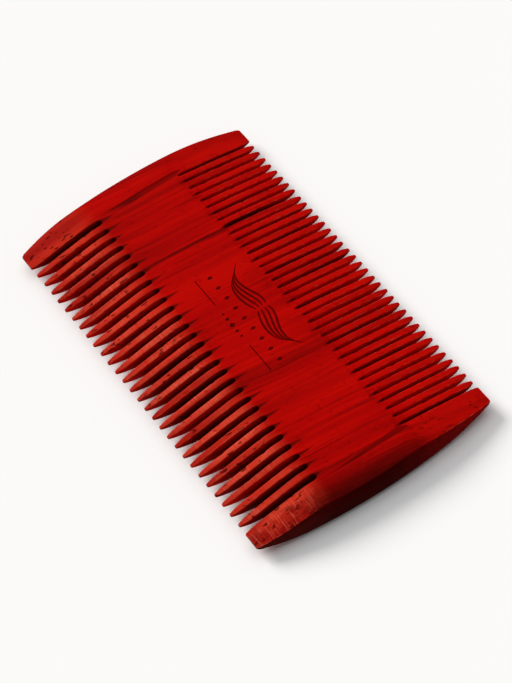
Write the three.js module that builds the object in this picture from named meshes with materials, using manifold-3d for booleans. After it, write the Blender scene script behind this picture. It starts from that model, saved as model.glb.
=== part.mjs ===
// A double-sided beard comb sawn from one board of red hardwood. Coarse teeth run along one long edge and fine
// teeth along the other, with a solid guard at each end and a full-thickness spine between the two rows.
//
// Millimetres, Z up. X runs along the rows of teeth and Y along the teeth, coarse edge at -Y, fine edge at +Y.
// The origin lies under the middle of the comb, on the flat underside of the spine.
//
// The board is shaped first, as on the bench: a flat board with bowed, rounded ends is thinned towards both
// long edges. Each named piece is then the part of that board inside its own outline, seen from above.

import * as THREE from "three";
import { mergeVertices } from "three/addons/utils/BufferGeometryUtils.js";
import Module from "manifold-3d";

// The board
const LENGTH = 89;
const WIDTH = 50.2;
const THICKNESS = 5.8;
const END_BOW = 2.5; // how far the middle of each end stands out past its corners
const END_ROUNDING = 1.35; // how far the rounding takes each end back at the two faces
const END_FLAT = 1.4; // height of the upright band left between those two roundings
const END_ROUNDING_STEPS = 4;
const END_ARC_STEPS = 28;
const BEVEL_CROWN = 1.15; // 1 is a flat bevel, more is a fuller one
const BEVEL_STEPS = 5;

// The two rows of teeth. Every distance is measured in Y from the centre line of the comb.
const COARSE = {
  side: -1,
  teeth: 28,
  pitch: 2.65,
  toothWidth: 1.62,
  tipWidth: 0.55,
  taperLength: 2.8,
  root: 9.25,
  bevelStart: 11.5,
  tipThickness: 0.46,
  guardFlare: 0.35,
};
const FINE = {
  side: 1,
  teeth: 36,
  pitch: 2.08,
  toothWidth: 1.39,
  tipWidth: 0.42,
  taperLength: 2.1,
  root: 8.8,
  bevelStart: 8,
  tipThickness: 0.36,
  guardFlare: 0.3,
};

// The pieces
const GUARD_INNER = 37.7; // X where the spine ends and a guard begins
const CORNER_CUT = 0.45; // taken off the outer corners of the guards, in X and in Y
const SPINE_FINE_EDGE = 8; // Y of the spine's edge on the fine side, just short of the slots
const TAPER_FULLNESS = 0.5; // how much of its taper a tooth keeps its side before it curves in
const TAPER_STEPS = 5;
const CUT_MARGIN = 2; // how far a cutting outline reaches past the board

const WOOD_COLOUR = 0x9c0d0a;
const WOOD_ROUGHNESS = 0.5;
const TOOTH_COLOUR = 0xa8180f;

const wasm = await Module();
wasm.setup();

function solidFrom(geometry) {
  const bare = geometry.clone();
  bare.deleteAttribute("normal");
  bare.deleteAttribute("uv");
  const merged = mergeVertices(bare);
  return new wasm.Manifold(
    new wasm.Mesh({
      numProp: 3,
      vertProperties: new Float32Array(merged.attributes.position.array),
      triVerts: new Uint32Array(merged.index.array),
    })
  );
}

function geometryFrom(solid) {
  const mesh = solid.getMesh();
  const geometry = new THREE.BufferGeometry();
  geometry.setAttribute("position", new THREE.BufferAttribute(mesh.vertProperties, mesh.numProp));
  geometry.setIndex(new THREE.BufferAttribute(mesh.triVerts, 1));
  geometry.computeVertexNormals();
  return geometry;
}

// Half the board's thickness at a distance y from the centre line, on the side of the given row.
function halfThickness(row, y) {
  const full = THICKNESS / 2;
  const tip = row.tipThickness / 2;
  const along = Math.max(0, (y - row.bevelStart) / (WIDTH / 2 - row.bevelStart));
  return tip + (full - tip) * (1 - along ** BEVEL_CROWN);
}

// The board seen along X: flat in the middle, thinned by a bevel on both faces towards each long edge.
function sideProfile() {
  const upper = [];
  for (const row of [COARSE, FINE]) {
    const run = WIDTH / 2 - row.bevelStart;
    const stations = [];
    for (let i = 0; i <= BEVEL_STEPS; i += 1) {
      const y = row.bevelStart + (run * i) / BEVEL_STEPS;
      stations.push(new THREE.Vector2(row.side * y, halfThickness(row, y)));
    }
    upper.push(...(row.side < 0 ? stations.reverse() : stations));
  }
  const lower = upper.map((point) => new THREE.Vector2(point.x, -point.y)).reverse();
  return new THREE.Shape([...upper, ...lower]);
}

// The board seen from above, run on past both long edges: straight sides and two bowed ends.
function boardOutline() {
  const halfChord = WIDTH / 2;
  const radius = (halfChord ** 2 + END_BOW ** 2) / (2 * END_BOW);
  const sweep = Math.asin((halfChord + CUT_MARGIN) / radius);
  const centre = LENGTH / 2 - radius;
  const rightEnd = [];
  for (let i = 0; i <= END_ARC_STEPS; i += 1) {
    const angle = sweep * ((2 * i) / END_ARC_STEPS - 1);
    rightEnd.push(new THREE.Vector2(centre + radius * Math.cos(angle), radius * Math.sin(angle)));
  }
  const leftEnd = rightEnd.map((point) => new THREE.Vector2(-point.x, -point.y));
  return new THREE.Shape([...rightEnd, ...leftEnd]);
}

function makeBoard() {
  const sides = new THREE.ExtrudeGeometry(sideProfile(), { depth: LENGTH + 2 * CUT_MARGIN, bevelEnabled: false });
  const alongX = new THREE.Matrix4().makeBasis(
    new THREE.Vector3(0, 1, 0),
    new THREE.Vector3(0, 0, 1),
    new THREE.Vector3(1, 0, 0)
  );
  sides.applyMatrix4(alongX);
  sides.translate(-LENGTH / 2 - CUT_MARGIN, 0, THICKNESS / 2);

  const ends = new THREE.ExtrudeGeometry(boardOutline(), {
    depth: END_FLAT,
    bevelThickness: (THICKNESS - END_FLAT) / 2,
    bevelSize: END_ROUNDING,
    bevelOffset: -END_ROUNDING,
    bevelSegments: END_ROUNDING_STEPS,
  });
  ends.translate(0, 0, (THICKNESS - END_FLAT) / 2);
  return solidFrom(ends).intersect(solidFrom(sides));
}

const board = makeBoard();

function makePiece(name, outline, colour) {
  const cutter = new THREE.ExtrudeGeometry(outline, {
    depth: THICKNESS + 2 * CUT_MARGIN,
    curveSegments: TAPER_STEPS,
    bevelEnabled: false,
  });
  cutter.translate(0, 0, -CUT_MARGIN);
  const material = new THREE.MeshStandardMaterial({ color: colour, roughness: WOOD_ROUGHNESS, metalness: 0 });
  const mesh = new THREE.Mesh(geometryFrom(board.intersect(solidFrom(cutter))), material);
  mesh.name = name;
  return mesh;
}

// Adds the outline of one tooth to a path that stands at the tooth's root on its -X side, and leaves the path
// at the root on its +X side.
function addTooth(path, row, x) {
  const tipY = row.side * (WIDTH / 2);
  const shoulderY = tipY - row.side * row.taperLength;
  const controlY = shoulderY + row.side * row.taperLength * TAPER_FULLNESS;
  const rootY = row.side * row.root;
  const half = row.toothWidth / 2;
  const tipHalf = row.tipWidth / 2;
  path.lineTo(x - half, shoulderY);
  path.quadraticCurveTo(x - half, controlY, x - tipHalf, tipY);
  path.lineTo(x + tipHalf, tipY);
  path.quadraticCurveTo(x + half, controlY, x + half, shoulderY);
  path.lineTo(x + half, rootY);
}

function toothX(row, index) {
  return (index - (row.teeth - 1) / 2) * row.pitch;
}

function coarseTooth(index) {
  const x = toothX(COARSE, index);
  const outline = new THREE.Shape();
  outline.moveTo(x - COARSE.toothWidth / 2, -COARSE.root);
  addTooth(outline, COARSE, x);
  return outline;
}

// Two fine teeth with the strip of board that joins them at the root. The strips meet in the middle of the
// slots between pairs, and the first and last reach to the guards.
function finePair(index) {
  const first = toothX(FINE, 2 * index);
  const second = toothX(FINE, 2 * index + 1);
  const start = index === 0 ? -GUARD_INNER : first - FINE.pitch / 2;
  const end = 2 * index + 2 === FINE.teeth ? GUARD_INNER : second + FINE.pitch / 2;
  const outline = new THREE.Shape();
  outline.moveTo(start, SPINE_FINE_EDGE);
  outline.lineTo(start, FINE.root);
  outline.lineTo(first - FINE.toothWidth / 2, FINE.root);
  addTooth(outline, FINE, first);
  outline.lineTo(second - FINE.toothWidth / 2, FINE.root);
  addTooth(outline, FINE, second);
  outline.lineTo(end, FINE.root);
  outline.lineTo(end, SPINE_FINE_EDGE);
  return outline;
}

function spineOutline() {
  const outline = new THREE.Shape();
  outline.moveTo(-GUARD_INNER, -COARSE.root);
  outline.lineTo(GUARD_INNER, -COARSE.root);
  outline.lineTo(GUARD_INNER, SPINE_FINE_EDGE);
  outline.lineTo(-GUARD_INNER, SPINE_FINE_EDGE);
  return outline;
}

// A guard fills the board from the last slot outwards. Its inner corners curve away from the teeth at the tips,
// and its outer corners are cut off.
function guardOutline(end) {
  const outer = end * (LENGTH / 2 + CUT_MARGIN);
  const corner = end * (LENGTH / 2 - END_BOW);
  const inner = end * GUARD_INNER;
  const cutX = end * CORNER_CUT;
  const edge = WIDTH / 2;
  const outline = new THREE.Shape();
  outline.moveTo(outer, -edge + CORNER_CUT);
  outline.lineTo(corner, -edge + CORNER_CUT);
  outline.lineTo(corner - cutX, -edge);
  outline.lineTo(inner + end * COARSE.guardFlare, -edge);
  for (const row of [COARSE, FINE]) {
    const tipY = row.side * (WIDTH / 2);
    const shoulderY = tipY - row.side * row.taperLength;
    const controlY = shoulderY + row.side * row.taperLength * TAPER_FULLNESS;
    if (row.side < 0) {
      outline.quadraticCurveTo(inner, controlY, inner, shoulderY);
    } else {
      outline.lineTo(inner, shoulderY);
      outline.quadraticCurveTo(inner, controlY, inner + end * row.guardFlare, tipY);
    }
  }
  outline.lineTo(corner - cutX, edge);
  outline.lineTo(corner, edge - CORNER_CUT);
  outline.lineTo(outer, edge - CORNER_CUT);
  return outline;
}

const twoDigits = (number) => String(number).padStart(2, "0");

const comb = new THREE.Group();
comb.name = "beard_comb";
comb.add(makePiece("spine", spineOutline(), WOOD_COLOUR));
comb.add(makePiece("end_guard_left", guardOutline(-1), WOOD_COLOUR));
comb.add(makePiece("end_guard_right", guardOutline(1), WOOD_COLOUR));
for (let i = 0; i < COARSE.teeth; i += 1) {
  comb.add(makePiece(`coarse_tooth_${twoDigits(i + 1)}`, coarseTooth(i), TOOTH_COLOUR));
}
for (let i = 0; i < FINE.teeth / 2; i += 1) {
  comb.add(makePiece(`fine_tooth_pair_${twoDigits(i + 1)}`, finePair(i), TOOTH_COLOUR));
}

export default comb;
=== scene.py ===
"""A double-sided beard comb sawn from one board of red hardwood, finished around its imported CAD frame.

Lengths are in millimetres until a mesh is made. The axes are the frame's: X along the rows of teeth, the
coarse edge at -Y, the fine edge at +Y, Z up, and the underside of the spine at zero. Each piece is one
region of the board, and neighbours meet face to face where the wood runs straight, so the surface carries on
across them.
"""

import math
import random
from collections import namedtuple
from dataclasses import dataclass

import bmesh
import bpy
from mathutils import Matrix, Vector, noise
from mathutils.geometry import delaunay_2d_cdt


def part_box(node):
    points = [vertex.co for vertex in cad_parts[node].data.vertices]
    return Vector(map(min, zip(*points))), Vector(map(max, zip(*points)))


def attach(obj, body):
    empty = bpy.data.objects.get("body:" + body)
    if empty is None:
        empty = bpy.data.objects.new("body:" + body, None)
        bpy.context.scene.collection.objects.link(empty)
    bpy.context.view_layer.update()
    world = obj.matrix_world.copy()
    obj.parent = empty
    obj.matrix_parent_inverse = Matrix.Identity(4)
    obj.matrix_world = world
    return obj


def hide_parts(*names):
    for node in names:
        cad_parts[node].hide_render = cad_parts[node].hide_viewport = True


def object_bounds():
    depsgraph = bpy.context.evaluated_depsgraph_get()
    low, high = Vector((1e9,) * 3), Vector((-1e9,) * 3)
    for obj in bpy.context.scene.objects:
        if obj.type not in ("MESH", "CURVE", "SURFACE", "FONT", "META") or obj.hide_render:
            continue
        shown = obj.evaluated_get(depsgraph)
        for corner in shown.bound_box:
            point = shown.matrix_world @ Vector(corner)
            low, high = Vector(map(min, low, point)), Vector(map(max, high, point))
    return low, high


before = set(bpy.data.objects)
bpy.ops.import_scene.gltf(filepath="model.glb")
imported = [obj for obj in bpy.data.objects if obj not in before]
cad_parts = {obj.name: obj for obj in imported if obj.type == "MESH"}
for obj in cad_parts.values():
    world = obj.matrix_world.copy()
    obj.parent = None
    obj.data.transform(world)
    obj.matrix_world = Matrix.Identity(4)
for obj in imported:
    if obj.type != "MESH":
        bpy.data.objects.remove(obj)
CAD_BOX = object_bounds()

MM = 0.001
SEED = 7


# ---------------------------------------------------------------- sizes taken from the frame


def node_box(name):
    low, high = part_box(name)
    return low / MM, high / MM


def nodes_named(start):
    return sorted(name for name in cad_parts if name.startswith(start))


BOARD_LOW, BOARD_HIGH = (corner / MM for corner in CAD_BOX)
MIDDLE_Z = (BOARD_LOW.z + BOARD_HIGH.z) / 2
HALF_THICKNESS = (BOARD_HIGH.z - BOARD_LOW.z) / 2
EDGE = BOARD_HIGH.y  # where the long edges lie
END = BOARD_HIGH.x  # where the middle of a bowed end stands
GUARD_INNER = node_box("spine")[1].x  # where the last slot's wall on a guard stands

COARSE_NODES = nodes_named("coarse_tooth_")
FINE_NODES = nodes_named("fine_tooth_pair_")
PAIR_LOW, PAIR_HIGH = node_box(FINE_NODES[1])
FINE_PITCH = (PAIR_HIGH.x - PAIR_LOW.x) / 2


def middle_x(name):
    low, high = node_box(name)
    return (low.x + high.x) / 2


# ---------------------------------------------------------------- shape of the board and of its teeth

BEVEL_CROWN = 1.15  # 1 is a flat bevel, more is a fuller one
END_BOW = 2.5  # how far the middle of an end stands out past its corners
END_ROUNDING = 1.35  # how far the rounding takes an end back at the faces
END_FLAT = 1.4  # height of the upright band left between the two roundings
END_CROWN = 0.4  # how far a guard's faces fall off towards the middle of the bowed end
END_CROWN_FULL = 4  # how far to each side of the centre line they fall off fully
END_CROWN_FADE = 14  # over how much more width that fades out
END_RADIUS = (EDGE**2 + END_BOW**2) / (2 * END_BOW)  # of the bow, seen from above
CORNER_RADIUS = 0.55
EDGE_EASE = 0.14  # radius of the eased edges of a guard
THIN_EASE_SHARE = 0.55  # the largest radius of an eased edge, as a share of half the thickness there
SEAM_INSET = 0.9  # how far outside the last slot the spine meets a guard
ROOT_ROUNDING = 0.8  # how far across a slot its end curves in, as a share of half its width
FLANK_POWER = 4  # how sharply a tooth's side turns in towards its faces
FLANK_FULL_HEIGHT = 0.7  # half the thickness below which a tooth's side turns in less

# Heights of the loops of points round a piece, as shares of half its thickness, from the face to mid-height
LEVELS = (1, 0.985, 0.955, 0.9, 0.8, 0.65, 0.45, 0.22, 0)


@dataclass(frozen=True)
class Row:
    """One row of teeth. Places along a tooth are measured in Y from the centre line."""

    side: int  # the sign of Y
    teeth: list  # the middle of each tooth in X
    half: float  # half a tooth's width at its root
    narrowing: float  # how much of that goes between the stub and the tip, apart from the taper
    flank: float  # how far a tooth's side turns in towards its faces
    ease: float  # radius of a tooth's eased edges
    root: float  # where a slot ends
    point: float  # over what length a slot's end narrows
    stub: float  # how far past the root the spine meets a tooth
    bevel: float  # where the board starts to thin
    tip_half: float  # half a tooth's width at its tip
    tip_height: float  # half the board's thickness at the tips
    taper: float  # over what length a tooth narrows to its tip
    flare: float  # how far a guard's inner corner curves away from the teeth
    run_out: tuple  # the shortest and longest groove that a slot leaves past its root
    run_out_slope: float  # how steep that groove's sides are


UNEVENNESS = 0.06  # how far at most a fine tooth stands from its even place
WIDE_SLOT_AFTER = 7  # number of the fine tooth, counted from -X, that the one wide slot follows
WIDE_SLOT_SHIFT = 0.13  # how far each of the two teeth beside it makes way


def fine_teeth():
    """Places of the fine teeth in X, which are a little uneven and leave one slot wider than the rest."""
    chance = random.Random(SEED)
    count = 2 * len(FINE_NODES)
    places = []
    for i in range(count):
        even_place = (i - (count - 1) / 2) * FINE_PITCH
        places.append(even_place + chance.uniform(-UNEVENNESS, UNEVENNESS))
    places[WIDE_SLOT_AFTER] -= WIDE_SLOT_SHIFT
    places[WIDE_SLOT_AFTER + 1] += WIDE_SLOT_SHIFT
    return places


COARSE = Row(
    side=-1,
    teeth=[middle_x(name) for name in COARSE_NODES],
    half=0.9,
    narrowing=0.2,
    flank=0.2,
    ease=0.1,
    root=9.25,
    point=0.9,
    stub=1.1,
    bevel=11.5,
    tip_half=0.29,
    tip_height=0.23,
    taper=2.9,
    flare=0.35,
    run_out=(1.2, 4.8),
    run_out_slope=0.22,
)
FINE = Row(
    side=1,
    teeth=fine_teeth(),
    half=0.76,
    narrowing=0.06,
    flank=0.1,
    ease=0.08,
    root=8.8,
    point=1.3,
    stub=1.5,
    bevel=8,
    tip_half=0.23,
    tip_height=0.18,
    taper=2.2,
    flare=0.3,
    run_out=(0.4, 1.5),
    run_out_slope=0.9,
)


def row_at(y):
    return COARSE if y < 0 else FINE


def half_height(y):
    """Half the board's thickness at a distance from its centre line."""
    row = row_at(y)
    along = max(0, (abs(y) - row.bevel) / (EDGE - row.bevel))
    return row.tip_height + (HALF_THICKNESS - row.tip_height) * (1 - min(1, along) ** BEVEL_CROWN)


def end_x(y):
    """Where the bowed +X end stands at a distance from the centre line."""
    return END - END_RADIUS + math.sqrt(END_RADIUS**2 - y**2)


# ---------------------------------------------------------------- how far each kind of wall leans back


def eased(level, height, ease):
    """How far an edge of a given radius stands back at one level."""
    radius = min(ease, THIN_EASE_SHARE * height)
    depth = height * (1 - level)
    if depth >= radius:
        return 0
    return radius - math.sqrt(radius**2 - (radius - depth) ** 2)


def flank_of(row):
    """The side of a tooth, which turns in towards both faces and has eased edges."""

    def inset(level, height):
        share = min(1, height / FLANK_FULL_HEIGHT)
        return row.flank * share * level**FLANK_POWER + eased(level, height, row.ease)

    return inset


def nose(level, height):
    """A guard's rounded end. Where the board is thinner than the flat band, only the corner is eased."""
    flat = END_FLAT / 2
    span = HALF_THICKNESS - flat
    share = max(0, (level * height - flat) / span)
    crisp = 1 - max(0, (height - flat) / span)
    return END_ROUNDING * (1 - math.sqrt(max(0, 1 - share**2))) + crisp * eased(level, height, EDGE_EASE)


def guard_edge(level, height):
    return eased(level, height, EDGE_EASE)


def upright(level, height):
    return 0


# One point of a piece's outline seen from above, the direction into the wood there, and how far each level
# of the wall stands back in that direction
Rail = namedtuple("Rail", "x y inward inset")
STILL = (0, 0)  # the direction where a wall doesn't stand back at all


# ---------------------------------------------------------------- solids

TRIANGLES_INSIDE = 1  # the kind of result that covers the inside of the outline
MERGE_DISTANCE = 1e-6
SHARP_DEGREES = 48  # an edge that turns by more than this is shaded as an edge
ENGRAVING_DEPTH = 0.12


class Solid:
    """Points and faces of one closed piece, and the numbers of its burnt faces."""

    def __init__(self):
        self.points = []
        self.faces = []
        self.burnt = set()

    def add_point(self, x, y, z):
        self.points.append((x, y, z))
        return len(self.points) - 1

    def add_face(self, corners, burnt=False):
        if burnt:
            self.burnt.add(len(self.faces))
        self.faces.append(tuple(corners))

    def add_loops(self, loops):
        """Adds loops of points and the quads between them, and returns each loop's point numbers."""
        numbered = [[self.add_point(*point) for point in loop] for loop in loops]
        count = len(numbered[0])
        for above, below in zip(numbered, numbered[1:]):
            for i in range(count):
                j = (i + 1) % count
                self.add_face((above[i], below[i], below[j], above[j]))
        return numbered

    def add_cap(self, loop, height_at, side, inner=(), creases=(), engraving=()):
        """Closes a loop with triangles on the upper face, where side is 1, or on the lower one, where it's -1.

        Engraved shapes are sunk into it.
        """
        flat = [Vector(self.points[number][:2]) for number in loop]
        known = len(flat)
        flat += [Vector(point) for point in inner]
        shapes = [list(range(known))]
        for outline in engraving:
            shapes.append(list(range(len(flat), len(flat) + len(outline))))
            flat += [Vector(point) for point in outline]
        triangulated = delaunay_2d_cdt(flat, list(creases), shapes, TRIANGLES_INSIDE, MERGE_DISTANCE)
        points, _, faces, from_points, _, from_faces = triangulated
        numbers = []
        for point, origin in zip(points, from_points):
            if origin and origin[0] < known:
                numbers.append(loop[origin[0]])
            else:
                numbers.append(self.add_point(*point, MIDDLE_Z + side * height_at(*point)))
        sunk = []
        for face, origin in zip(faces, from_faces):
            if any(shape > 0 for shape in origin):
                sunk.append([numbers[i] for i in face])
            else:
                self.add_face(numbers[i] for i in face)
        self.sink(sunk)

    def sink(self, faces):
        """Lowers a patch of faces and adds the little walls round it."""
        lower = {}
        edges = {}
        for face in faces:
            for number in face:
                if number not in lower:
                    x, y, z = self.points[number]
                    lower[number] = self.add_point(x, y, z - ENGRAVING_DEPTH)
            for pair in zip(face, face[1:] + face[:1]):
                edges.setdefault(frozenset(pair), []).append(pair)
            self.add_face((lower[number] for number in face), burnt=True)
        for pairs in edges.values():
            if len(pairs) == 1:
                a, b = pairs[0]
                self.add_face((a, b, lower[b], lower[a]), burnt=True)

    def build(self, name, materials, *replaced):
        mesh = bpy.data.meshes.new(name)
        mesh.from_pydata([Vector(point) * MM for point in self.points], [], self.faces)
        for number in self.burnt:
            mesh.polygons[number].material_index = 1  # the second of the spine's two materials
        for material in materials:
            mesh.materials.append(material)
        work = bmesh.new()
        work.from_mesh(mesh)
        bmesh.ops.recalc_face_normals(work, faces=work.faces)
        work.to_mesh(mesh)
        work.free()
        mesh.shade_smooth()
        mesh.set_sharp_from_angle(angle=math.radians(SHARP_DEGREES))
        piece = bpy.data.objects.new(name, mesh)
        bpy.context.scene.collection.objects.link(piece)
        weighted = piece.modifiers.new("even_shading", "WEIGHTED_NORMAL")
        weighted.keep_sharp = True
        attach(piece, "root")
        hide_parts(*replaced)
        return piece


def loops_round(rail, height_at):
    """Loops of points down the wall of a piece, from its upper face to its lower one."""
    heights = []
    for point in rail:
        back = point.inset(1, height_at(point.x, point.y))
        heights.append(height_at(point.x + point.inward[0] * back, point.y + point.inward[1] * back))
    loops = []
    for level in list(LEVELS) + [-level for level in reversed(LEVELS[:-1])]:
        loop = []
        for point, height in zip(rail, heights):
            back = point.inset(abs(level), height)
            x = point.x + point.inward[0] * back
            y = point.y + point.inward[1] * back
            loop.append((x, y, MIDDLE_Z + level * height))
        loops.append(loop)
    return loops


# ---------------------------------------------------------------- the slots


Slot = namedtuple("Slot", "row left right run_out")


def slots_of(row):
    """The gaps between neighbouring teeth, and between the outer teeth and the guards, from -X to +X."""
    chance = random.Random(SEED + row.side)
    lefts = [-GUARD_INNER] + [x + row.half for x in row.teeth]
    rights = [x - row.half for x in row.teeth] + [GUARD_INNER]
    return [Slot(row, left, right, chance.uniform(*row.run_out)) for left, right in zip(lefts, rights)]


SLOTS = {row.side: slots_of(row) for row in (COARSE, FINE)}


def run_out_depth(x, y):
    """Depth of the V-shaped groove that each slot leaves in the faces as it fades out past its root."""
    row = row_at(y)
    beyond = max(0, row.root - abs(y))
    for slot in SLOTS[row.side]:
        middle = (slot.left + slot.right) / 2
        half = (slot.right - slot.left) / 2 + row.flank
        reach = half * (1 - beyond / slot.run_out) - abs(x - middle)
        if reach > 0:
            return reach * row.run_out_slope
    return 0


def spine_height(x, y):
    return half_height(y) - run_out_depth(x, y)


def guard_height(x, y):
    start = GUARD_INNER + SEAM_INSET
    share = max(0, (abs(x) - start) / (end_x(y) - start))
    faded = min(1, max(0, abs(y) - END_CROWN_FULL) / END_CROWN_FADE)
    fall = END_CROWN * (1 + math.cos(math.pi * faded)) / 2
    return half_height(y) - fall * share**2


ROOT_STEPS = 5  # steps in each corner of a slot's end


def slot_rail(row, first, second):
    """The wall round a slot's inner end, met going from its first side in X to its second."""
    travel = math.copysign(1, second - first)
    radius = ROOT_ROUNDING * abs(second - first) / 2
    seam_y = row.side * (row.root + row.stub)
    wall = flank_of(row)
    turns = [i / ROOT_STEPS * math.pi / 2 for i in range(ROOT_STEPS + 1)]

    def corner_point(side_x, across, angle):
        inward = (-across * math.cos(angle), -row.side * math.sin(angle))
        x = side_x + radius * (across + inward[0])
        y = row.side * (row.root + row.point * (1 - math.sin(angle)))
        return Rail(x, y, inward, wall)

    rail = [Rail(first, seam_y, (-travel, 0), wall)]
    rail += [corner_point(first, travel, angle) for angle in turns]
    rail.append(Rail((first + second) / 2, row.side * row.root, (0, -row.side), wall))
    rail += [corner_point(second, -travel, angle) for angle in reversed(turns)]
    rail.append(Rail(second, seam_y, (travel, 0), wall))
    return rail


# ---------------------------------------------------------------- the burnt ornament

# The strands of one half of the moustache, as curves with four control points. Each strand moves the points
# of the one above it by the same steps.
STRANDS = 4
TOP_STRAND = ((0.4, 4.75), (3.3, 6.2), (7.6, 0.6), (11.9, 5.6))
STRAND_STEPS = ((0, -0.72), (-0.2, -1.55), (-0.35, 0.05), (-1, -0.95))
STRAND_PIECES = 26
STRAND_WIDTH = 0.46
STRAND_HUMP = (0.12, 0.98)  # the part of half a sine wave that a strand's width follows from root to tip
STRAND_FULLNESS = 0.8  # less is fuller towards both ends

# Below the moustache: a row of diamonds, then two bars with dots between them
DIAMONDS_A_SIDE = 4
DIAMOND_SPACING = 3
DIAMOND_HALVES = (0.42, 0.62)
DIAMOND_Y = -0.2
BAR_Y = -2.85
BAR_SPAN = (5.9, 13.2)
BAR_WIDTH = 0.2
DOTS = ((0, 0.62), (1.7, 0.4), (-1.7, 0.4), (3.2, 0.3), (-3.2, 0.3))  # place in X and half width


def ribbon(path, widths):
    """The outline of a stroke of changing width along a path."""
    left = []
    right = []
    for i, point in enumerate(path):
        before = path[max(0, i - 1)]
        after = path[min(len(path) - 1, i + 1)]
        along = (Vector(after) - Vector(before)).normalized()
        across = Vector((-along.y, along.x)) * widths[i] / 2
        left.append(Vector(point) + across)
        right.append(Vector(point) - across)
    return right + left[::-1]


def bezier(points, steps):
    a, b, c, d = (Vector(point) for point in points)
    path = []
    for i in range(steps + 1):
        t = i / steps
        s = 1 - t
        path.append(a * s**3 + b * 3 * s * s * t + c * 3 * s * t * t + d * t**3)
    return path


def mirrored(outline):
    return [Vector((-point.x, point.y)) for point in reversed(outline)]


def diamond(x, y, half_width, half_length):
    return [
        Vector((x + half_width, y)),
        Vector((x, y + half_length)),
        Vector((x - half_width, y)),
        Vector((x, y - half_length)),
    ]


def bar(x0, x1, y, width):
    return [
        Vector((x0, y - width / 2)),
        Vector((x1, y - width / 2)),
        Vector((x1, y + width / 2)),
        Vector((x0, y + width / 2)),
    ]


def moustache():
    """Tapering strands on both sides, nested, with their tips sweeping up."""
    low, high = STRAND_HUMP
    widths = []
    for k in range(STRAND_PIECES + 1):
        hump = math.sin(math.pi * (low + (high - low) * k / STRAND_PIECES))
        widths.append(STRAND_WIDTH * hump**STRAND_FULLNESS)
    shapes = []
    for i in range(STRANDS):
        points = [(x + i * dx, y + i * dy) for (x, y), (dx, dy) in zip(TOP_STRAND, STRAND_STEPS)]
        strand = ribbon(bezier(points, STRAND_PIECES), widths)
        shapes += [strand, mirrored(strand)]
    return shapes


def ornament():
    shapes = moustache()
    for i in range(-DIAMONDS_A_SIDE, DIAMONDS_A_SIDE + 1):
        shapes.append(diamond(DIAMOND_SPACING * i, DIAMOND_Y, *DIAMOND_HALVES))
    near, far = BAR_SPAN
    shapes += [bar(-far, -near, BAR_Y, BAR_WIDTH), bar(near, far, BAR_Y, BAR_WIDTH)]
    for x, half in DOTS:
        shapes.append(diamond(x, BAR_Y, half, half))
    return shapes


# ---------------------------------------------------------------- node trees


class Nodes:
    """A short way to write a node tree."""

    def __init__(self, material):
        material.use_nodes = True
        self.tree = material.node_tree
        self.tree.nodes.clear()

    def add(self, kind, inputs=None, **settings):
        node = self.tree.nodes.new(kind)
        for key, value in settings.items():
            setattr(node, key, value)
        for key, value in (inputs or {}).items():
            socket = node.inputs[key]
            if isinstance(value, bpy.types.NodeSocket):
                self.tree.links.new(value, socket)
            else:
                socket.default_value = value
        return node

    def math(self, operation, a, b=0.0, clamp=False):
        return self.add("ShaderNodeMath", {0: a, 1: b}, operation=operation, use_clamp=clamp).outputs[0]

    def product(self, first, *others):
        for other in others:
            first = self.math("MULTIPLY", first, other)
        return first

    def larger(self, a, b):
        return self.math("MAXIMUM", a, b)

    def distance(self, value, place=0.0):
        return self.math("ABSOLUTE", self.math("SUBTRACT", value, place))

    def ramp(self, value, low, high, to_low=0.0, to_high=1.0):
        """Goes smoothly from to_low to to_high while the value goes from low to high."""
        inputs = {"Value": value, "From Min": low, "From Max": high, "To Min": to_low, "To Max": to_high}
        return self.add("ShaderNodeMapRange", inputs, interpolation_type="SMOOTHSTEP").outputs[0]

    def mix(self, factor, a, b, blend="MIX"):
        inputs = {0: factor, 6: a, 7: b}
        return self.add("ShaderNodeMix", inputs, data_type="RGBA", blend_type=blend).outputs[2]

    def paint(self, colour, paint, mask, strength=1):
        """Lays a paint over a colour where the mask shows it."""
        if strength != 1:
            mask = self.product(mask, strength)
        return self.mix(mask, colour, paint)

    def stretched(self, vector, scale):
        return self.add("ShaderNodeVectorMath", {0: vector, 1: scale}, operation="MULTIPLY").outputs[0]

    def cloud(self, vector, pattern):
        """A cloudy pattern, mostly near 0.5. A ramp over a part of its range picks out patches."""
        inputs = {"Vector": vector, "Scale": 1.0, "Detail": pattern.detail, "Roughness": pattern.roughness}
        return self.add("ShaderNodeTexNoise", inputs).outputs["Fac"]


# ---------------------------------------------------------------- the red wood

RED = (0.34, 0.0, 0.0, 1)
BRIGHT_RED = (0.42, 0.001, 0.0, 1)
DEEP_RED = (0.235, 0.0, 0.0, 1)
STREAK = (0.075, 0.0, 0.0, 1)
FINE_RED = (0.45, 0.003, 0.001, 1)
# partly sanded wood and partly a painted sheen on the coarse bevel
ORANGE_RED = (0.47, 0.016, 0.005, 1)
# pale scuffed wood with a painted sheen, also used for the worn edges and their painted highlights
SCUFF_AND_SHEEN = (0.6, 0.1, 0.055, 1)
SCRATCHED = (0.6, 0.13, 0.08, 1)
# painted light and shade on the walls of the fine slots: lit near the faces, in shade deeper down, and painted
# light at the roots to lift their shadow
FINE_WALL_LIT = (0.6, 0.0, 0.0, 1)
FINE_WALL_SHADE = (0.43, 0.0, 0.0, 1)
FINE_ROOT_LIGHT = (0.9, 0.0, 0.0, 1)
# painted shade in the grooves past the fine slots' roots
FINE_RUN_OUT_SHADE = (0.13, 0.0, 0.0, 1)
# painted light and shade on the walls of the coarse slots: lit near the faces, in shade deeper down
COARSE_WALL_LIT = (0.52, 0.001, 0.0, 1)
COARSE_WALL_SHADE = (0.21, 0.0, 0.0, 1)
SLOT_SHADE = (0.05, 0.0, 0.0, 1)
ROOT_SHADE = (0.08, 0.0, 0.0, 1)
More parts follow.
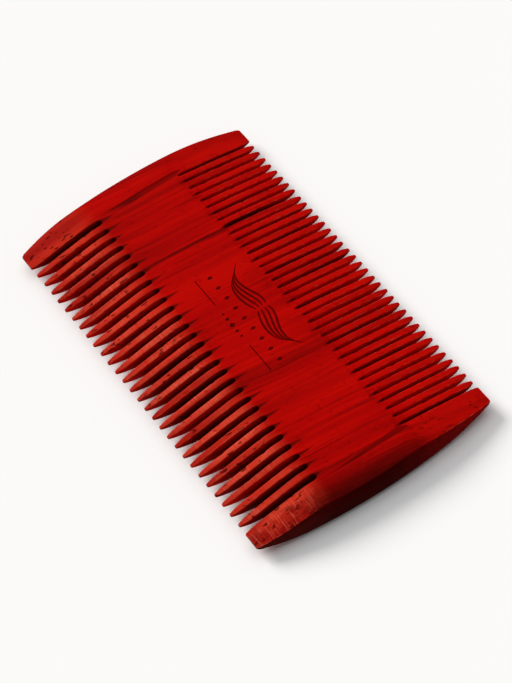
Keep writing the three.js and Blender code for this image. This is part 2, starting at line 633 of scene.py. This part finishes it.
# painted shade in the grooves past the coarse slots' roots
COARSE_RUN_OUT_SHADE = (0.055, 0.0, 0.0, 1)
# painted shade for the +X end, on its faces near the end and on its end wall
END_SHADE = (0.034, 0.0, 0.0, 1)
# the end walls' colour where less shade is painted: towards the fine side and at the -X end
PALER_END_SHADE = (0.21, 0.0, 0.0, 1)
WALL_STREAK = (0.35, 0.2, 0.2, 1)
PORE = (0.055, 0.0, 0.0, 1)
BURNT = (0.06, 0.0, 0.0, 1)
BURNT_STRENGTH = 0.74

# Cloudy patterns: how quickly each changes with a millimetre of X, Y and Z, how many finer layers it has,
# and how strong those are
Pattern = namedtuple("Pattern", "scale detail roughness", defaults=(0.5,))
WANDER = Pattern((0.06, 0.035, 0.06), 1)
BROAD_BANDS = Pattern((0.13, 0.02, 0.2), 2)
BANDS = Pattern((0.9, 0.03, 0.9), 3, 0.6)
FIBRES = Pattern((5.5, 0.16, 5.5), 3, 0.6)
STREAKS = Pattern((1.1, 0.028, 1.1), 4, 0.6)
SAW_MARKS = Pattern((0.35, 6.5, 0.35), 2)
SCUFF_AND_SHEEN_PATCHES = Pattern((0.22, 0.11, 0.22), 2)
SCUFFED_AND_SHEENED_TEETH = Pattern((0.33, 0, 0), 1)
SHADED_TEETH = Pattern((0.43, 0.035, 0), 1)
SCRATCHES = Pattern((0.3, 7, 0.3), 1)
SMUDGES = Pattern((0.55, 0.4, 0.55), 3, 0.6)
PITS = Pattern((1.9, 0.75, 1.9), 0)
PIT_CLUSTERS = Pattern((0.3, 0.16, 0.3), 1)
# picks the slots that get more painted shade
SHADED_SLOT_PATTERN = Pattern((0.38, 0.02, 0), 0)
# patches of worn edges and of their painted highlights
WEAR_AND_HIGHLIGHT_PATCHES = Pattern((0.8, 0.8, 0.8), 3)

GRAIN_SLANT = 0.1  # how far the grain drifts in X for each millimetre of Y
GRAIN_WANDER = 3.5  # how far the lines of the grain stray from that
SCRATCH_TURNS = (0.7, -0.8)  # the pattern is turned by these, so that two sets of scratches differ

# Lines that run the whole length of the grain: place in X on the centre line, half width, strength
DARK_LINES = (
    (-44.0, 4.5, 0.35),
    (-35.5, 2.0, 0.15),
    (-26.2, 0.9, 0.3),
    (-21.4, 0.65, 1.0),
    (13.4, 2.6, 0.4),
    (27.0, 0.5, 0.35),
    (35.5, 2.5, 0.25),
    (38.2, 0.8, 0.6),
    # The last two are broad and strong: painted shade over the +X end.
    (44.6, 6.5, 0.95),
    (45.2, 4.6, 0.9),
)
BRIGHT_LINES = (
    (-38.2, 1.8, 0.55),
    (-12.0, 5.0, 0.8),
    (24.0, 5.0, 0.4),
)
DARK_LINE_CORE = 0.1  # a dark line is fully dark this far to each side of its middle
DARK_FINE_SLOT = -21.1  # where in X the one slot lies that looks much darker than the rest of the fine row


class Wood(Nodes):
    """The red wood as layers of colour. Each layer takes the colour so far and adds its own paint.

    Places are in millimetres. The masks, such as on_bevel, go from 0 to 1.
    """

    def __init__(self, material):
        super().__init__(material)
        metres = self.add("ShaderNodeTexCoord").outputs["Object"]
        self.place = self.stretched(metres, (1 / MM, 1 / MM, 1 / MM))
        self.x, self.y, self.z = self.add("ShaderNodeSeparateXYZ", {0: self.place}).outputs
        self.toward_coarse = self.product(self.y, -1)
        self.off_middle = self.distance(self.x)
        self.off_centre_line = self.distance(self.y)
        self.grain = self.place_in_grain()
        self.depth = self.math("SUBTRACT", self.surface_height(), self.distance(self.z, MIDDLE_Z))
        normal = self.add("ShaderNodeNewGeometry").outputs["Normal"]
        self.facing_up = self.distance(self.add("ShaderNodeSeparateXYZ", {0: normal}).outputs["Z"])

        self.on_bevel = self.ramp(self.toward_coarse, COARSE.bevel - 3, COARSE.bevel + 3)
        self.on_fine_bevel = self.ramp(self.y, FINE.bevel + 0.5, FINE.bevel + 5)
        self.on_fine_half = self.ramp(self.y, -2, 2)
        self.on_guards = self.ramp(self.off_middle, GUARD_INNER + 1.5, GUARD_INNER + 2.5)
        self.on_facet = self.product(self.ramp(self.x, GUARD_INNER + 0.6, GUARD_INNER + 2), self.on_bevel)
        self.on_walls = self.ramp(self.facing_up, 0.93, 0.45)

        self.bands = self.grain_cloud(BANDS)
        self.fibres = self.grain_cloud(FIBRES)
        self.saw_marks = self.place_cloud(SAW_MARKS)
        self.shaded_slots = self.place_cloud(SHADED_SLOT_PATTERN)
        self.pits = self.find_pits()

    # Places and patterns

    def place_cloud(self, pattern):
        return self.cloud(self.stretched(self.place, pattern.scale), pattern)

    def grain_cloud(self, pattern):
        return self.cloud(self.stretched(self.grain, pattern.scale), pattern)

    def place_in_grain(self):
        """The place, moved in X so that lines along Y follow the slant and the wandering of the grain."""
        wander = self.product(self.math("SUBTRACT", self.place_cloud(WANDER), 0.5), GRAIN_WANDER)
        drift = self.math("ADD", wander, self.product(self.y, -GRAIN_SLANT))
        shift = self.add("ShaderNodeCombineXYZ", {"X": drift}).outputs[0]
        return self.add("ShaderNodeVectorMath", {0: self.place, 1: shift}, operation="ADD").outputs[0]

    def surface_height(self):
        """The same half thickness as half_height gives, worked out by nodes."""
        heights = []
        for row in (COARSE, FINE):
            past_bevel = self.math("SUBTRACT", self.off_centre_line, row.bevel)
            along = self.math("DIVIDE", past_bevel, EDGE - row.bevel, clamp=True)
            fall = self.product(self.math("POWER", along, BEVEL_CROWN), HALF_THICKNESS - row.tip_height)
            heights.append(self.math("SUBTRACT", HALF_THICKNESS, fall))
        difference = self.math("SUBTRACT", heights[1], heights[0])
        return self.math("ADD", heights[0], self.product(difference, self.math("GREATER_THAN", self.y, 0)))

    def find_pits(self):
        """Small pits in clusters, most of them on the coarse bevel and on the +X guard."""
        more = self.ramp(self.x, GUARD_INNER, GUARD_INNER + 2, to_high=0.055)
        pits = self.ramp(self.math("ADD", self.grain_cloud(PITS), more), 0.68, 0.73)
        clusters = self.ramp(self.place_cloud(PIT_CLUSTERS), 0.4, 0.52)
        on_guards = self.product(self.on_guards, self.on_fine_bevel, 0.7)
        return self.product(pits, clusters, self.larger(self.larger(self.on_bevel, on_guards), 0.3))

    # The colour of the faces

    def grain_colour(self):
        colour = self.mix(self.ramp(self.grain_cloud(BROAD_BANDS), 0.3, 0.6), DEEP_RED, RED)
        colour = self.paint(colour, BRIGHT_RED, self.ramp(self.bands, 0.4, 0.75))
        colour = self.paint(colour, DEEP_RED, self.ramp(self.fibres, 0.5, 0.8), strength=0.35)
        return self.paint(colour, STREAK, self.ramp(self.grain_cloud(STREAKS), 0.56, 0.7), strength=0.6)

    def grain_lines(self, colour):
        grain_x = self.add("ShaderNodeSeparateXYZ", {0: self.grain}).outputs["X"]
        for x, half_width, strength in BRIGHT_LINES:
            line = self.ramp(self.distance(grain_x, x), half_width, 0)
            colour = self.paint(colour, BRIGHT_RED, line, strength)
        broken = self.ramp(self.fibres, 0.25, 0.6, to_low=0.5)
        for x, half_width, strength in DARK_LINES:
            line = self.ramp(self.distance(grain_x, x), half_width, DARK_LINE_CORE)
            colour = self.paint(colour, STREAK, self.product(line, broken), strength)
        return colour

    def bevels(self, colour):
        # The orange on the coarse bevel is partly sanded wood and partly a painted sheen.
        colour = self.paint(colour, ORANGE_RED, self.on_bevel, strength=0.85)
        return self.paint(colour, FINE_RED, self.on_fine_bevel, strength=0.5)

    def scuffs_and_sheen(self, colour):
        """Saw marks across the coarse bevel with a painted pale sheen, in patches, uneven from tooth to tooth,
        faint at the -X end.
        """
        marks = self.ramp(self.saw_marks, 0.4, 0.68, to_low=0.25)
        patches = self.ramp(self.place_cloud(SCUFF_AND_SHEEN_PATCHES), 0.35, 0.62, to_low=0.25)
        teeth = self.ramp(self.place_cloud(SCUFFED_AND_SHEENED_TEETH), 0.35, 0.6, to_low=0.35)
        from_left = self.ramp(self.x, -GUARD_INNER - 1, -GUARD_INNER + 9, to_low=0.15)
        strength = self.ramp(self.on_guards, 0, 1, to_low=0.75, to_high=0.2)
        scuffed_and_sheen = self.product(marks, patches, teeth, self.on_bevel, from_left, strength)
        return self.paint(colour, SCUFF_AND_SHEEN, scuffed_and_sheen)

    def shaded_teeth(self, colour):
        shaded = self.ramp(self.place_cloud(SHADED_TEETH), 0.42, 0.68)
        on_teeth = self.larger(self.product(self.on_bevel, 0.65), self.product(self.on_fine_bevel, 0.4))
        return self.paint(colour, DEEP_RED, self.product(shaded, on_teeth))

    def smudges(self, colour):
        smudged = self.ramp(self.place_cloud(SMUDGES), 0.43, 0.64)
        return self.paint(colour, STREAK, self.product(self.on_facet, smudged), strength=0.75)

    def dark_tips(self, colour):
        coarse_tips = self.ramp(self.toward_coarse, 18, EDGE, to_high=0.35)
        fine_tips = self.ramp(self.y, 22.5, EDGE, to_high=0.25)
        return self.paint(colour, DEEP_RED, self.larger(coarse_tips, fine_tips))

    def facets(self, colour):
        """The guards beside the coarse teeth, in a deeper red than the teeth, and the +X one scratched."""
        colour = self.paint(colour, DEEP_RED, self.product(self.on_bevel, self.on_guards), strength=0.45)
        sets = []
        for turn in SCRATCH_TURNS:
            turned = self.add("ShaderNodeMapping", {0: self.place, 2: (0, 0, turn), 3: SCRATCHES.scale})
            sets.append(self.cloud(turned.outputs[0], SCRATCHES))
        scratches = self.ramp(self.larger(*sets), 0.61, 0.73)
        return self.paint(colour, SCRATCHED, self.product(self.on_facet, scratches), strength=0.42)

    def dark_end(self, colour):
        """Painted shade on the +X guard, darkening towards its bowed end, most of all just on the coarse side
        of the middle.
        """
        bow = self.product(self.math("POWER", self.math("DIVIDE", self.off_centre_line, EDGE), 2), END_BOW)
        from_end = self.math("SUBTRACT", self.math("SUBTRACT", END, self.x), bow)
        near_end = self.ramp(from_end, 4.8, 0.6)
        off_fine_corner = self.ramp(self.toward_coarse, -12, 3, to_low=0.2)
        off_coarse_corner = self.ramp(self.toward_coarse, 17, 11, to_low=0.2)
        broken = self.ramp(self.fibres, 0.25, 0.6, to_low=0.75)
        dark = self.product(near_end, off_fine_corner, off_coarse_corner, broken)
        return self.paint(colour, END_SHADE, dark, strength=0.78)

    # The colour of the walls, which is painted light and shade

    # Painted light and shade on a coarse slot's walls: shade grows with depth and at the root, and falls on
    # some slots more than others, more towards +X.
    def coarse_wall(self, below_face, end_slots):
        colour = self.mix(self.ramp(self.depth, 0, 1.4), COARSE_WALL_LIT, COARSE_WALL_SHADE)
        at_root = self.ramp(self.toward_coarse, COARSE.root + 2, COARSE.root - 0.5)
        colour = self.paint(colour, ROOT_SHADE, at_root)
        to_right = self.ramp(self.x, -10, 2, to_low=0.2, to_high=0.95)
        shaded = self.product(self.ramp(self.shaded_slots, 0.36, 0.66), to_right)
        return self.paint(colour, SLOT_SHADE, self.product(self.larger(shaded, end_slots), below_face))

    # Painted light and shade on a fine slot's walls: shade grows with depth, painted light at the root,
    # painted shade on some slots and on the one wide slot.
    def fine_wall(self, below_face, end_slots):
        colour = self.mix(self.ramp(self.depth, 0, 1.2), FINE_WALL_LIT, FINE_WALL_SHADE)
        colour = self.paint(colour, FINE_ROOT_LIGHT, self.ramp(self.y, FINE.root + 2.2, FINE.root))
        shaded = self.ramp(self.shaded_slots, 0.5, 0.72, to_high=0.85)
        shaded = self.product(self.larger(shaded, end_slots), below_face)
        one_slot = self.ramp(self.distance(self.x, DARK_FINE_SLOT), 0.9, 0.5)
        one_slot = self.product(one_slot, self.ramp(self.y, 23, 13, to_low=0.35, to_high=0.95))
        return self.paint(colour, SLOT_SHADE, self.larger(shaded, one_slot))

    # Painted shade on the end walls: darkest at the +X end on the coarse side, paler towards the fine side and
    # the -X end.
    def end_wall(self):
        paler = self.larger(self.ramp(self.y, 0, EDGE), self.ramp(self.x, 10, -END))
        return self.mix(paler, END_SHADE, PALER_END_SHADE)

    def walls(self, colour):
        """The walls of the slots and of the two ends, in painted light and shade: lighter near the faces,
        painted shade deeper down and at the slots' roots, more in some slots than in others.
        """
        # Painted shade grows with depth below the faces and is strongest in the slots next to the guards.
        below_face = self.ramp(self.depth, 0.1, 1.1, to_low=0.45)
        end_slots = self.ramp(self.off_middle, GUARD_INNER - 2.2, GUARD_INNER - 1.7, to_high=0.9)
        coarse_wall = self.coarse_wall(below_face, end_slots)
        fine_wall = self.fine_wall(below_face, end_slots)
        wall = self.mix(self.on_fine_half, coarse_wall, fine_wall)
        wall = self.mix(self.on_guards, wall, self.end_wall())
        bands = self.ramp(self.bands, 0.3, 0.6, to_low=0.25, to_high=0.8)
        streaks = self.product(self.ramp(self.fibres, 0.38, 0.66), bands)
        wall = self.mix(streaks, wall, WALL_STREAK, "MULTIPLY")
        return self.paint(colour, wall, self.on_walls, strength=0.9)

    # Marks on faces and walls

    def pores(self, colour):
        return self.paint(colour, PORE, self.pits, strength=0.85)

    def run_outs(self, colour):
        """Painted shade in the grooves that the slots leave in the faces past their roots."""
        on_spine = self.ramp(self.off_centre_line, COARSE.root + 1.2, COARSE.root)
        on_spine = self.product(on_spine, self.math("SUBTRACT", 1, self.on_guards))
        sunk = self.ramp(self.depth, -0.01, 0.08)
        groove = self.mix(self.on_fine_half, COARSE_RUN_OUT_SHADE, FINE_RUN_OUT_SHADE)
        return self.paint(colour, groove, self.product(sunk, on_spine), strength=0.85)

    def worn_edges_and_highlights(self, colour):
        """Paler wood on the eased edges outside the spine, where they lean between a face and a wall: partly
        worn wood and partly a painted highlight where those edges catch the light.
        """
        eased_edge = self.product(self.ramp(self.facing_up, 0.97, 0.9), self.ramp(self.facing_up, 0.6, 0.8))
        patches = self.ramp(self.place_cloud(WEAR_AND_HIGHLIGHT_PATCHES), 0.4, 0.65)
        off_spine = self.ramp(self.off_centre_line, FINE.root + 2, FINE.root + 5)
        strength = self.ramp(self.on_guards, 0, 1, to_low=0.45, to_high=0.75)
        return self.paint(colour, SCUFF_AND_SHEEN, self.product(eased_edge, patches, off_spine, strength))

    # Gloss and relief

    def roughness(self):
        rough = self.ramp(self.fibres, 0.3, 0.7, to_low=0.5, to_high=0.62)
        rough = self.math("SUBTRACT", rough, self.product(self.on_bevel, 0.14))
        return self.math("ADD", rough, self.product(self.larger(self.pits, self.on_walls), 0.2), clamp=True)

    def relief(self):
        """Relief from the fibres, the pits and the saw marks on the coarse bevel, as a bumped normal."""
        height = self.product(self.fibres, 0.35)
        height = self.math("ADD", height, self.product(self.saw_marks, self.on_bevel, 0.4))
        height = self.math("SUBTRACT", height, self.product(self.pits, 0.6))
        inputs = {"Strength": 0.35, "Distance": 0.06 * MM, "Height": height}
        return self.add("ShaderNodeBump", inputs).outputs[0]


def wood_material(name, burnt=False):
    material = bpy.data.materials.new(name)
    wood = Wood(material)
    face_layers = [wood.grain_lines, wood.bevels, wood.scuffs_and_sheen, wood.shaded_teeth, wood.smudges]
    face_layers += [wood.dark_tips, wood.facets, wood.dark_end]
    colour = wood.grain_colour()
    for layer in face_layers + [wood.walls, wood.pores, wood.run_outs, wood.worn_edges_and_highlights]:
        colour = layer(colour)
    if burnt:
        colour = wood.mix(BURNT_STRENGTH, colour, BURNT)
    inputs = {
        "Base Color": colour,
        "Roughness": wood.roughness(),
        "Normal": wood.relief(),
        "Specular IOR Level": 0.03,
        "Specular Tint": (1.0, 0.35, 0.2, 1),
    }
    shader = wood.add("ShaderNodeBsdfPrincipled", inputs)
    wood.add("ShaderNodeOutputMaterial", {"Surface": shader.outputs[0]})
    return material


WOOD = wood_material("red_hardwood")
MARK = wood_material("burnt_hardwood", burnt=True)


# ---------------------------------------------------------------- the spine

STUB_POINTS = (-0.45, 0, 0.45)  # points across the top of a tooth, as shares of its half width


def spine_side(row, slots, teeth, start, finish):
    """The spine's outline along one row, with the number of the point in the middle of each slot's end."""
    seam_y = row.side * (row.root + row.stub)
    stub_half = row.half - row.flank - row.ease
    travel = math.copysign(1, finish - start)
    rail = [Rail(start, seam_y, STILL, upright)]
    middles = []
    for i, slot in enumerate(slots):
        first, second = (slot.left, slot.right) if travel > 0 else (slot.right, slot.left)
        wall = slot_rail(row, first, second)
        middles.append((len(rail) + len(wall) // 2, slot))
        rail += wall
        if i < len(teeth):
            for share in STUB_POINTS:
                rail.append(Rail(teeth[i] + travel * share * stub_half, seam_y, STILL, upright))
    rail.append(Rail(finish, seam_y, STILL, upright))
    return rail, middles


def run_out_lines(middles, known):
    """Points and creases for the grooves past the slots' ends, numbered after the points already known."""
    points = []
    creases = []
    for root_middle, slot in middles:
        row = slot.row
        middle = (slot.left + slot.right) / 2
        reach = (slot.right - slot.left) / 2 + row.flank
        tip = known + len(points)
        points.append((middle, row.side * (row.root - slot.run_out)))
        points += [(middle - reach, row.side * row.root), (middle + reach, row.side * row.root)]
        creases += [(root_middle, tip), (tip + 1, tip), (tip + 2, tip)]
    return points, creases


def build_spine():
    left = -GUARD_INNER - SEAM_INSET
    right = GUARD_INNER + SEAM_INSET
    rail, middles = spine_side(COARSE, SLOTS[COARSE.side], COARSE.teeth, left, right)
    back_rail, back_middles = spine_side(FINE, SLOTS[FINE.side][::-1], FINE.teeth[::-1], right, left)
    middles += [(len(rail) + number, slot) for number, slot in back_middles]
    rail += back_rail
    points, creases = run_out_lines(middles, len(rail))
    solid = Solid()
    loops = solid.add_loops(loops_round(rail, spine_height))
    solid.add_cap(loops[0], spine_height, 1, points, creases, ornament())
    solid.add_cap(loops[-1], spine_height, -1, points, creases)
    return solid.build("wood_spine", [WOOD, MARK], "spine")


# ---------------------------------------------------------------- the guards

WALL_STEPS = 30
EDGE_STEPS = 4
CORNER_STEPS = 6
END_STEPS = 60
FACE_ROWS = 66
FACE_COLUMNS = 4
FACE_MARGINS = (0.4, 0.8)  # how far in X and in Y the points on a guard's faces stay inside its outline


def guard_side(row):
    """The +X guard's outline on one side of the centre line, from the seam with the spine to the end."""
    rail = []
    start = row.root + row.stub
    shoulder = EDGE - row.taper
    for i in range(WALL_STEPS + 1):
        y = start + (EDGE - EDGE_EASE - start) * i / WALL_STEPS
        flare = row.flare * max(0, (y - shoulder) / row.taper) ** 2
        rail.append(Rail(GUARD_INNER + flare, row.side * y, (1, 0), flank_of(row)))
    edge_start = GUARD_INNER + row.flare + EDGE_EASE
    edge_end = end_x(EDGE) - CORNER_RADIUS
    for i in range(EDGE_STEPS + 1):
        x = edge_start + (edge_end - edge_start) * i / EDGE_STEPS
        rail.append(Rail(x, row.side * EDGE, (0, -row.side), guard_edge))
    for i in range(1, CORNER_STEPS):
        angle = i / CORNER_STEPS * math.pi / 2
        inward = (-math.sin(angle), -row.side * math.cos(angle))
        x = edge_end - CORNER_RADIUS * inward[0]
        y = row.side * (EDGE - CORNER_RADIUS) - CORNER_RADIUS * inward[1]
        rail.append(Rail(x, y, inward, guard_edge))
    return rail


def bowed_end():
    """The rounded end of the +X guard, from its coarse corner to its fine one."""
    rail = []
    for i in range(END_STEPS + 1):
        y = (EDGE - CORNER_RADIUS) * (2 * i / END_STEPS - 1)
        lean = math.asin(y / END_RADIUS)
        rail.append(Rail(end_x(y), y, (-math.cos(lean), -math.sin(lean)), nose))
    return rail


def guard_rail():
    """The outline of the +X guard, anticlockwise from the corner between the spine and the coarse slot."""
    seam_x = GUARD_INNER + SEAM_INSET
    rail = [Rail(seam_x, COARSE.side * (COARSE.root + COARSE.stub), STILL, upright)]
    rail += guard_side(COARSE) + bowed_end() + guard_side(FINE)[::-1]
    rail.append(Rail(seam_x, FINE.side * (FINE.root + FINE.stub), STILL, upright))
    return rail


def guard_face_points():
    """Points on the +X guard's faces, so that their triangles can follow the crown."""
    margin_x, margin_y = FACE_MARGINS
    start = GUARD_INNER + SEAM_INSET + margin_x
    points = []
    for i in range(FACE_ROWS + 1):
        y = (EDGE - margin_y) * (2 * i / FACE_ROWS - 1)
        finish = end_x(y) - END_ROUNDING - margin_x
        for k in range(FACE_COLUMNS + 1):
            points.append((start + (finish - start) * k / FACE_COLUMNS, y))
    return points


def build_guard(name, side, node):
    rail = guard_rail()
    points = guard_face_points()
    if side < 0:
        rail = [Rail(-p.x, p.y, (-p.inward[0], p.inward[1]), p.inset) for p in reversed(rail)]
        points = [(-x, y) for x, y in points]
    solid = Solid()
    loops = solid.add_loops(loops_round(rail, guard_height))
    solid.add_cap(loops[0], guard_height, 1, points)
    solid.add_cap(loops[-1], guard_height, -1, points)
    return solid.build(name, [WOOD], node)


# ---------------------------------------------------------------- the teeth

TOOTH_LEAN = 0.07  # how far a tip strays to either side
TOOTH_SWELL = 0.03  # how much half a tooth's width differs from tooth to tooth
TOOTH_SHORTENING = 0.12  # the most that a tooth falls short of the board's edge
SETTLING_LENGTH = 2  # over what length from the stub that swelling and the wear set in
SHAFT_STEPS = 38
TAPER_STEPS = 16
TIP_STEP = 0.3  # how far from the tip the one loop within its eased edge stands, as a share of the ease
MOST_WEAR = 0.8  # the most that an edge stands back, as a share of half a tooth's width

CHIP_DEPTH = 0.55
CHIP_FLOOR = 0.34  # an edge is chipped where the noise is above this
CHIP_SCALE = (1.9, 0.75, 1.9)
WAVER = 0.012  # how much a tooth's edge wanders where it isn't chipped
WAVER_SCALE = (2.7, 0.9, 2.7)
WEAR_LEVEL = 0.8  # share of half the thickness above which a tooth's side is worn

# Where the random numbers of the coarse and of the fine teeth start
COARSE_SEED = SEED * 100
FINE_SEED = SEED * 300

# A cross-section of a tooth: its middle in X, its distance from the centre line, half its width, half its
# thickness, and the share of the wear that it takes
Section = namedtuple("Section", "middle y half height wear")


def chipped(place, level):
    """How far the edge of a tooth is worn back at one point."""
    near_edge = max(0, (level - WEAR_LEVEL) / (1 - WEAR_LEVEL))
    rough = noise.noise(Vector([a * b for a, b in zip(place, CHIP_SCALE)]))
    slow = noise.noise(Vector([a * b for a, b in zip(place, WAVER_SCALE)]))
    return near_edge * (CHIP_DEPTH * max(0, rough - CHIP_FLOOR) + WAVER * slow)


def tooth_sections(row, x, chance):
    """The cross-sections of one tooth, from the stub on the spine to the tip."""
    lean = chance.uniform(-TOOTH_LEAN, TOOTH_LEAN)
    swell = chance.uniform(-TOOTH_SWELL, TOOTH_SWELL)
    tip_y = EDGE + chance.uniform(-TOOTH_SHORTENING, 0)
    start = row.root + row.stub
    shoulder = tip_y - row.taper
    ease = THIN_EASE_SHARE * row.tip_height
    stations = [start + (shoulder - start) * i / SHAFT_STEPS for i in range(SHAFT_STEPS)]
    stations += [shoulder + row.taper * i / TAPER_STEPS for i in range(TAPER_STEPS)]
    stations += [tip_y - ease, tip_y - ease * TIP_STEP, tip_y]
    sections = []
    for y in stations:
        settled = min(1, (y - start) / SETTLING_LENGTH)
        along = (y - start) / (tip_y - start)
        taper = min(1, max(0, (y - shoulder) / row.taper))
        half = row.half + swell * settled - row.narrowing * along
        half += (row.tip_half - half) * taper**2
        end_ease = ease - math.sqrt(ease**2 - max(0, y - tip_y + ease) ** 2)
        height = half_height(row.side * y) - end_ease
        sections.append(Section(x + lean * along, y, half - end_ease, height, settled * (1 - taper)))
    return sections


def tooth_loop(row, x, section):
    """Points round one cross-section: up its +X side, across the top, down its -X side and back below."""
    wall = flank_of(row)
    y = row.side * section.y
    upwards = [-level for level in LEVELS] + list(reversed(LEVELS[:-1]))
    face_half = section.half - wall(1, section.height)
    loop = []
    for side in (1, -1):
        for level in upwards[::side]:
            z = level * section.height
            wear = section.wear * chipped((x + side * section.half, section.y, z), abs(level))
            back = min(wall(abs(level), section.height) + wear, MOST_WEAR * section.half)
            loop.append((section.middle + side * (section.half - back), y, MIDDLE_Z + z))
        for share in STUB_POINTS[::-side]:
            loop.append((section.middle + share * face_half, y, MIDDLE_Z + side * section.height))
    return loop


def add_tooth(solid, row, x, chance):
    numbered = solid.add_loops([tooth_loop(row, x, section) for section in tooth_sections(row, x, chance)])
    solid.add_face(numbered[0])
    solid.add_face(numbered[-1])


def build_teeth():
    for index, (name, x) in enumerate(zip(COARSE_NODES, COARSE.teeth)):
        solid = Solid()
        add_tooth(solid, COARSE, x, random.Random(COARSE_SEED + index))
        solid.build(f"wood_{name}", [WOOD], name)
    for index, name in enumerate(FINE_NODES):
        solid = Solid()
        for number in (2 * index, 2 * index + 1):
            add_tooth(solid, FINE, FINE.teeth[number], random.Random(FINE_SEED + number))
        solid.build(f"wood_{name}", [WOOD], name)


# ---------------------------------------------------------------- camera, lights and floor

# Angles are in degrees, and the azimuth is counted from -Y towards +X.
CAMERA_AZIMUTH = 67.56
CAMERA_ELEVATION = 52.3
CAMERA_ROLL = 13.3
CAMERA_DISTANCE = 473.4
CAMERA_LENS = 134.7
CAMERA_CLIP = (10, 10000)
AIM = Vector((2.55, -0.08, MIDDLE_Z - 1.84))  # the place that the camera looks at

FLOOR_HALF = 3000
FLOOR_COLOUR = (0.8, 0.8, 0.8, 1)
WORLD_COLOUR = (1, 1, 1, 1)
WORLD_STRENGTH = 0.3


def add_camera():
    azimuth = math.radians(CAMERA_AZIMUTH)
    elevation = math.radians(CAMERA_ELEVATION)
    roll = math.radians(CAMERA_ROLL)
    outwards = math.cos(elevation)
    back = Vector((math.sin(azimuth) * outwards, -math.cos(azimuth) * outwards, math.sin(elevation)))
    level_right = Vector((0, 0, 1)).cross(back).normalized()
    level_up = back.cross(level_right)
    right = level_right * math.cos(roll) - level_up * math.sin(roll)
    up = level_up * math.cos(roll) + level_right * math.sin(roll)
    turn = Matrix((right, up, back)).transposed().to_4x4()
    data = bpy.data.cameras.new("camera")
    data.lens = CAMERA_LENS
    data.clip_start, data.clip_end = (distance * MM for distance in CAMERA_CLIP)
    camera = bpy.data.objects.new("camera", data)
    camera.matrix_world = Matrix.Translation((AIM + back * CAMERA_DISTANCE) * MM) @ turn
    bpy.context.scene.collection.objects.link(camera)
    bpy.context.scene.camera = camera


def add_sun(name, direction, strength, width, colour):
    """A broad, even light from one direction. Its width in degrees softens the shadows."""
    data = bpy.data.lights.new(name, "SUN")
    data.energy = strength
    data.angle = math.radians(width)
    data.color = colour
    light = bpy.data.objects.new(name, data)
    light.rotation_mode = "QUATERNION"
    light.rotation_quaternion = Vector(direction).to_track_quat("Z", "Y")
    bpy.context.scene.collection.objects.link(light)


def add_floor():
    material = bpy.data.materials.new("pale_floor")
    nodes = Nodes(material)
    shader = nodes.add("ShaderNodeBsdfDiffuse", {"Color": FLOOR_COLOUR})
    nodes.add("ShaderNodeOutputMaterial", {"Surface": shader.outputs[0]})
    size = FLOOR_HALF * MM
    corners = [(x * size, y * size, 0) for x, y in ((-1, -1), (1, -1), (1, 1), (-1, 1))]
    data = bpy.data.meshes.new("floor")
    data.from_pydata(corners, [], [(0, 1, 2, 3)])
    data.materials.append(material)
    floor = bpy.data.objects.new("floor", data)
    bpy.context.scene.collection.objects.link(floor)


def add_world():
    world = bpy.data.worlds.new("studio")
    world.use_nodes = True
    background = world.node_tree.nodes["Background"]
    background.inputs["Color"].default_value = WORLD_COLOUR
    background.inputs["Strength"].default_value = WORLD_STRENGTH
    bpy.context.scene.world = world


def add_studio():
    add_floor()
    add_world()
    add_sun("key", direction=(-0.74, -0.3, 0.6), strength=2.95, width=30, colour=(1.0, 0.98, 0.95))
    add_sun("top", direction=(-0.1, 0.1, 1), strength=1.1, width=60, colour=(1.0, 1.0, 1.0))
    bpy.context.scene.view_settings.view_transform = "Standard"


add_camera()
add_studio()
build_spine()
build_guard("wood_end_guard_left", -1, "end_guard_left")
build_guard("wood_end_guard_right", 1, "end_guard_right")
build_teeth()
